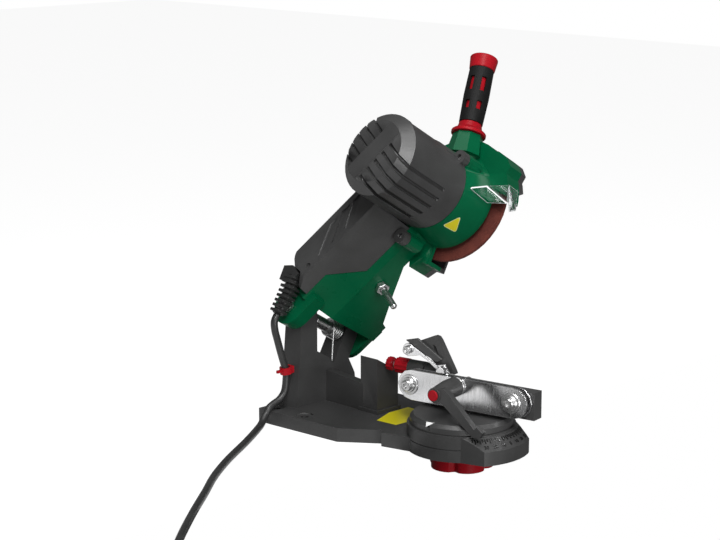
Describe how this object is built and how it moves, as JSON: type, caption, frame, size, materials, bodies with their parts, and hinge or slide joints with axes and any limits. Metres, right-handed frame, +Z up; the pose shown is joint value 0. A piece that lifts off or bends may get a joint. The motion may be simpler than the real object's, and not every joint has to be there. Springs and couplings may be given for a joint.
{
  "type": "electric chainsaw sharpener",
  "caption": "Bench chainsaw sharpener: a sprung motor arm swings a guarded grinding wheel down to a chain vise with stop and clamp lever on a turntable with an angle scale.",
  "frame": {"origin": "on the underside of the base, on the centre line between the turntable and the column", "axes": "+Z up, -Y towards the operator and the turntable, +X to the operator's right; metres"},
  "size_m": [0.6211, 0.3625, 0.3322],
  "materials": {
    "dark_casting": "fine grain moulded, satin",
    "dark_plastic": "fine grain moulded, satin",
    "green_plastic": "smooth semi-gloss",
    "red_plastic": "smooth semi-gloss",
    "black_rubber": "soft matte grip",
    "black_plastic": "moulded",
    "steel": "zinc plated",
    "laminated_iron": "laminations with windings",
    "copper": "copper segments",
    "carbon": "pressed carbon",
    "abrasive": "bonded abrasive grain",
    "clear_plastic": "clear moulded"
  },
  "bodies": {
    "base": {"base_body": "dark_casting", "cord_clip": "red_plastic", "pivot_shaft": "steel", "pivot_bolt_head": "steel", "pivot_nut": "steel", "return_spring": "steel", "supply_cord": "black_rubber", "cord_coil": "black_rubber", "mains_plug": "black_rubber"},
    "arm": {"arm_frame": "green_plastic", "motor_housing": "dark_plastic", "guard_cover": "dark_plastic", "stator": "laminated_iron", "front_bearing": "steel", "rear_bearing": "steel", "brush_holder_upper": "black_plastic", "brush_holder_lower": "black_plastic", "brush_upper": "carbon", "brush_lower": "carbon", "housing_screw_upper": "steel", "housing_screw_lower": "steel", "eye_shield": "clear_plastic", "handle_core": "red_plastic", "handle_grip": "black_rubber", "handle_bolt": "steel", "switch_body": "black_plastic", "strain_relief": "black_rubber", "depth_nut": "steel"},
    "spindle": {"grinding_wheel": "abrasive", "inner_flange": "steel", "outer_flange": "steel", "wheel_nut": "steel", "motor_shaft": "steel", "rotor": "laminated_iron", "commutator": "copper", "cooling_fan": "black_plastic"},
    "rocker": {"switch_rocker": "red_plastic"},
    "depth": {"depth_screw": "steel"},
    "table": {"turntable": "dark_plastic", "rear_jaw": "steel", "jaw_screw_left": "steel", "jaw_screw_right": "steel", "clamp_stud": "steel", "clamp_washer": "steel", "lock_stud": "steel"},
    "knob": {"lock_knob": "red_plastic", "lock_knob_insert": "steel"},
    "lever": {"clamp_lever": "dark_plastic", "clamp_lever_cap": "red_plastic"},
    "jaw": {"front_jaw": "steel"},
    "stop": {"stop_bracket": "dark_plastic", "stop_rod": "steel", "stop_end_knob": "red_plastic", "pawl_screw": "steel"},
    "pawl": {"stop_pawl": "steel", "pawl_lever": "dark_plastic"},
    "adjust": {"stop_adjuster": "red_plastic"}
  },
  "joints": [
    {"name": "arm_pivot", "type": "hinge", "parent": "base", "child": "arm", "pos_m": [0.0059, 0.05, 0.0722], "axis": [0.866, 0, -0.5], "range_deg": [0, 25], "stiffness_Nm_per_rad": 1.2, "springref_deg": -91.67},
    {"name": "wheel_spin", "type": "hinge", "parent": "arm", "child": "spindle", "pos_m": [0.07212, -0.03799, 0.18689], "axis": [0.866, 0, -0.5], "continuous": true},
    {"name": "depth_stop", "type": "slide", "parent": "arm", "child": "depth", "axis": [0.2767, 0.8329, 0.4793], "range_m": [0, 0.012]},
    {"name": "switch_rock", "type": "hinge", "parent": "arm", "child": "rocker", "pos_m": [-0.00458, 0.02129, 0.17406], "axis": [0.866, 0, -0.5], "range_deg": [0, 14]},
    {"name": "turntable_turn", "type": "hinge", "parent": "base", "child": "table", "pos_m": [0, -0.11, 0.022], "axis": [0, 0, 1], "range_deg": [0, 115]},
    {"name": "lock_knob_turn", "type": "hinge", "parent": "table", "child": "knob", "pos_m": [0, -0.11, 0.022], "axis": [0, 0, 1], "range_deg": [-180, 180]},
    {"name": "clamp_lever_turn", "type": "hinge", "parent": "table", "child": "lever", "pos_m": [-0.00052, -0.10705, 0.053], "axis": [-0.9848, -0.1736, 0], "range_deg": [0, 100]},
    {"name": "jaw_close", "type": "slide", "parent": "table", "child": "jaw", "axis": [0.9848, 0.1736, 0], "range_m": [0, 0.0012]},
    {"name": "stop_slide", "type": "slide", "parent": "table", "child": "stop", "axis": [0.1736, -0.9848, 0], "range_m": [-0.00125, 0.00187]},
    {"name": "stop_adjuster_turn", "type": "hinge", "parent": "table", "child": "adjust", "pos_m": [0.01576, -0.10722, 0.0562], "axis": [0.1736, -0.9848, 0], "range_deg": [-360, 540]},
    {"name": "pawl_flip", "type": "hinge", "parent": "stop", "child": "pawl", "pos_m": [-0.0099, -0.05387, 0.0746], "axis": [-0.9848, -0.1736, 0], "range_deg": [0, 70]}
  ],
  "couplings": [
    {"joint": "clamp_lever_turn", "follows": "jaw_close", "rad_per_m": 1454.4},
    {"joint": "stop_adjuster_turn", "follows": "stop_slide", "rad_per_m": 5026.5}
  ]
}
